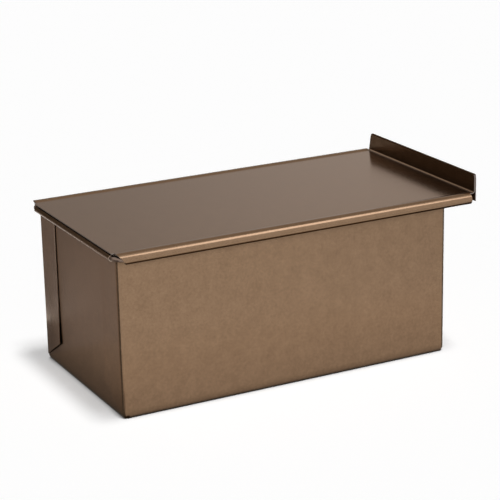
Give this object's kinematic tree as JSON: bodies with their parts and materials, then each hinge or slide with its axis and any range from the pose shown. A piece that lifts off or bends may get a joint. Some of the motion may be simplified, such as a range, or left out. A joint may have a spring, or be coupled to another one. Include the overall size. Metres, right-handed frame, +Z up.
{
  "type": "pullman loaf pan",
  "caption": "Straight-walled loaf pan of folded coated steel with a wired rolled rim and a flat lid that slides along the rim by an upturned handle flange.",
  "frame": {"origin": "middle of the pan's flat underside, on the surface that it stands on", "axes": "+X along the pan's length towards the lid's handle flange, +Y across the pan, +Z up"},
  "size_m": [0.2481, 0.1352, 0.1139],
  "materials": {
    "pan_coating": "satin bronze non-stick coating with a fine grain",
    "lid_coating": "satin bronze non-stick coating with a fine grain",
    "wire_steel": "drawn wire, coated with the pan"
  },
  "bodies": {
    "pan": {"pan_body": "pan_coating", "rim_wire": "wire_steel"},
    "lid": {"sliding_lid": "lid_coating"}
  },
  "joints": [
    {"name": "lid_slide", "type": "slide", "parent": "pan", "child": "lid", "axis": [1, 0, 0], "range_m": [-0.0155, 0.236]}
  ]
}
